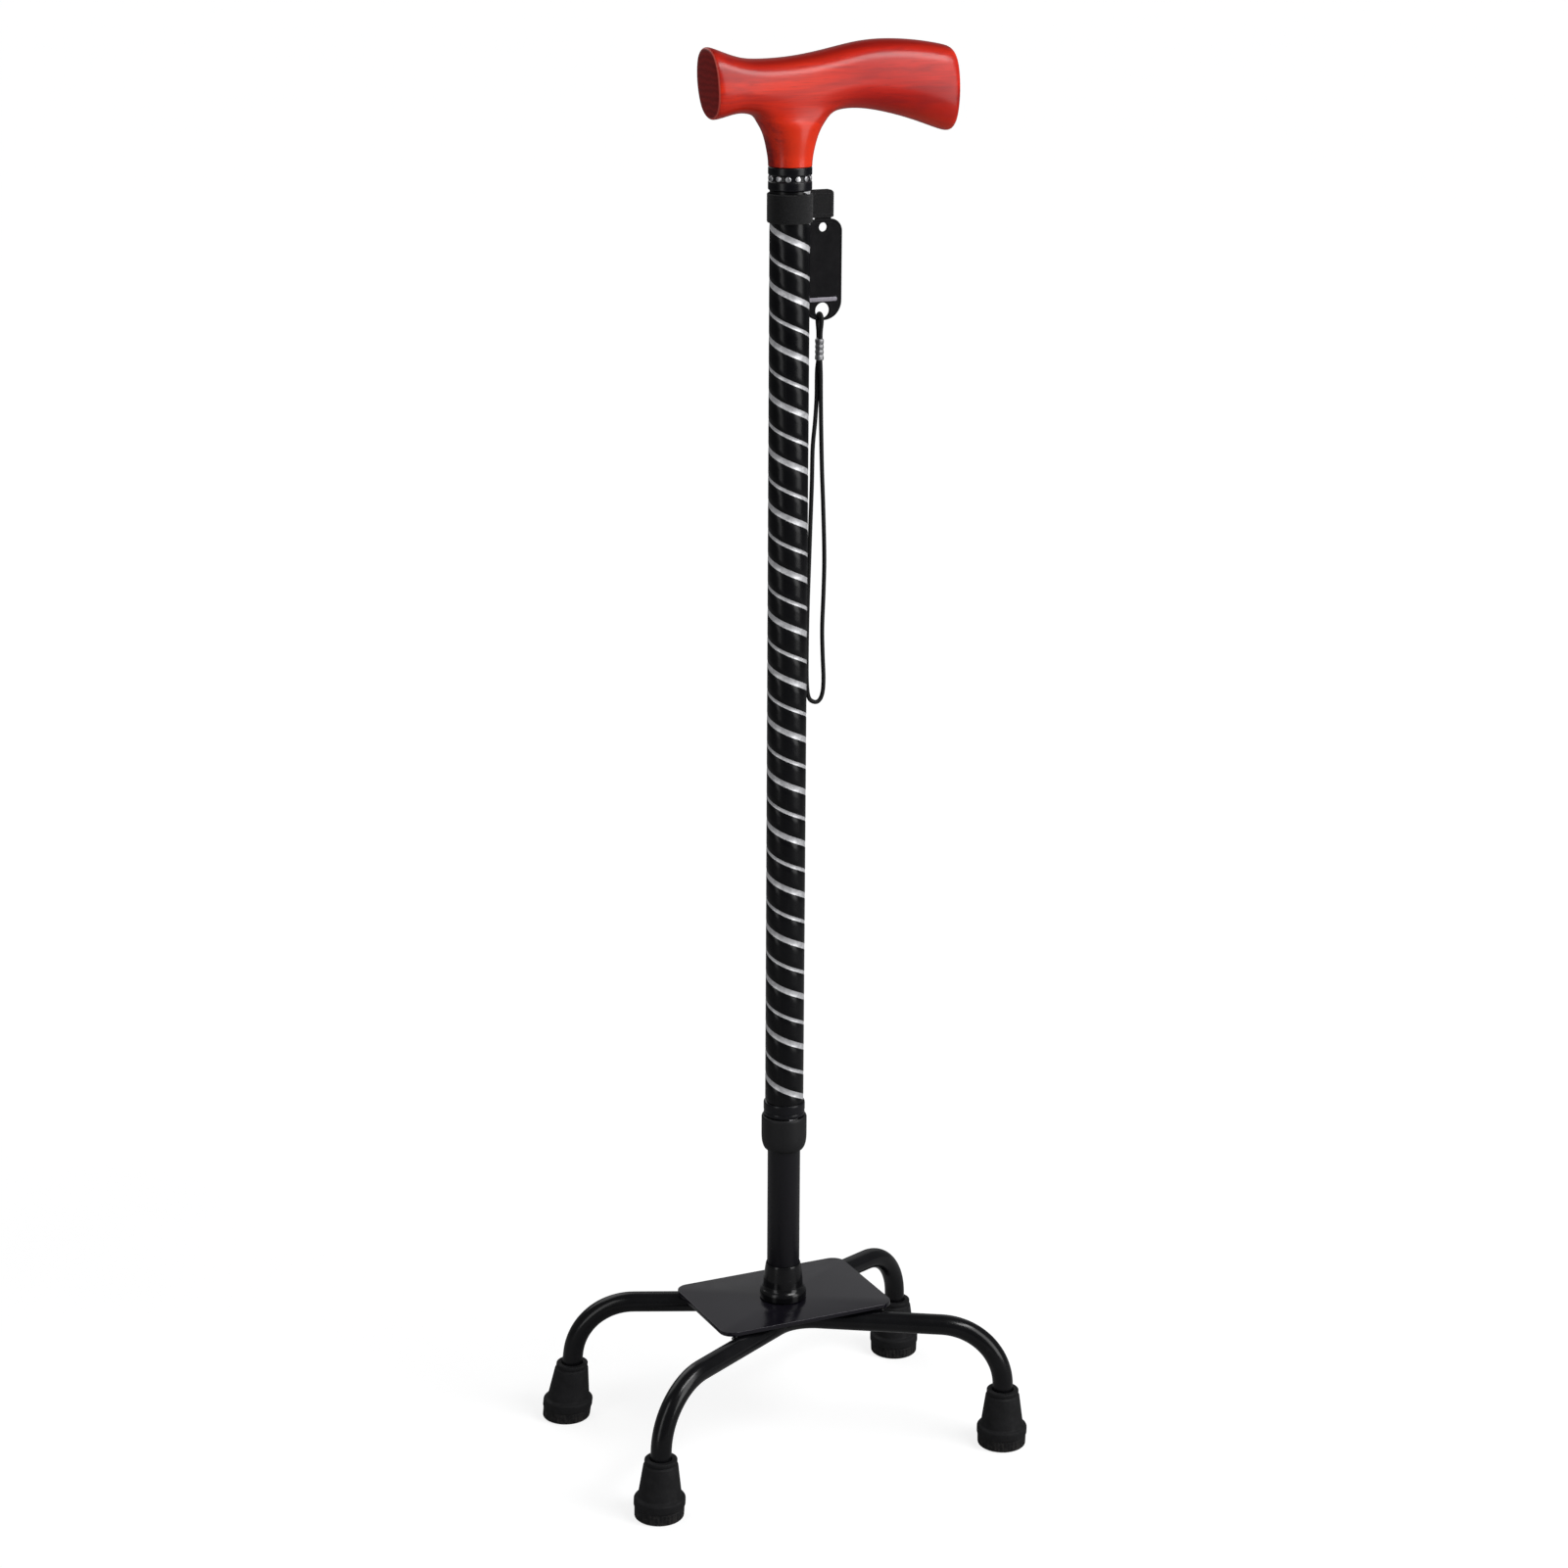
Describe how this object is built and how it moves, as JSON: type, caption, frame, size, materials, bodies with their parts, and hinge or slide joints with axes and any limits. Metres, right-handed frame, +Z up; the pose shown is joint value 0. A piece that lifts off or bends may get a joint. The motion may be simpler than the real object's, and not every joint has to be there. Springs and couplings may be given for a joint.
{
  "type": "quad walking cane",
  "caption": "Walking cane on a wide low base of splayed bent legs, with a wooden T handle, a height-adjustable tube with snap button and lock collar, and a wrist cord.",
  "frame": {"origin": "on the floor, at the centre of the four rubber feet", "axes": "+Z up the shaft, +X along the handle towards its long palm end, -Y the front"},
  "size_m": [0.2499, 0.1706, 0.8137],
  "materials": {
    "rubber": "matte",
    "black_paint": "gloss",
    "plate_paint": "satin",
    "shaft_lacquer": "gloss",
    "collar_plastic": "matte",
    "ferrule_metal": "gloss",
    "handle_wood": "polished",
    "steel": "zinc plated",
    "aluminium": "turned",
    "nylon": "matte",
    "webbing": "woven",
    "tag_leather": "smooth",
    "cord_nylon": "braided",
    "crimp_metal": "satin"
  },
  "bodies": {
    "base": {"rubber_foot_left_front": "rubber", "rubber_foot_left_back": "rubber", "rubber_foot_right_front": "rubber", "rubber_foot_right_back": "rubber", "foot_washer_left_front": "steel", "foot_washer_left_back": "steel", "foot_washer_right_front": "steel", "foot_washer_right_back": "steel", "front_leg_tube": "black_paint", "back_leg_tube": "black_paint", "base_plate": "plate_paint", "tube_socket": "black_paint", "lower_plug": "aluminium", "bolt_washer": "steel", "base_bolt": "steel", "lower_tube": "shaft_lacquer", "guide_bush": "nylon", "button_spring": "steel"},
    "upper_shaft": {"upper_tube": "shaft_lacquer", "collar_bead_ring": "ferrule_metal", "grip_ring": "nylon", "handle_ferrule": "ferrule_metal", "stud_nut": "steel", "handle_stud": "steel", "handle": "handle_wood", "strap_band": "webbing", "strap_tag": "tag_leather", "cord_crimp": "crimp_metal", "cord_bight": "cord_nylon", "wrist_cord": "cord_nylon"},
    "collar": {"lock_collar": "collar_plastic"},
    "button": {"push_button": "steel"}
  },
  "joints": [
    {"name": "height_slide", "type": "slide", "parent": "base", "child": "upper_shaft", "axis": [0, 0, 1], "range_m": [-0.0508, 0.1016]},
    {"name": "collar_turn", "type": "hinge", "parent": "upper_shaft", "child": "collar", "pos_m": [0, 0, 0.19], "axis": [0, 0, 1], "range_deg": [0, 90]},
    {"name": "button_press", "type": "slide", "parent": "base", "child": "button", "axis": [0, -1, 0], "range_m": [0, 0.0036], "stiffness_N_per_m": 900, "deforming": ["button_spring"]}
  ]
}
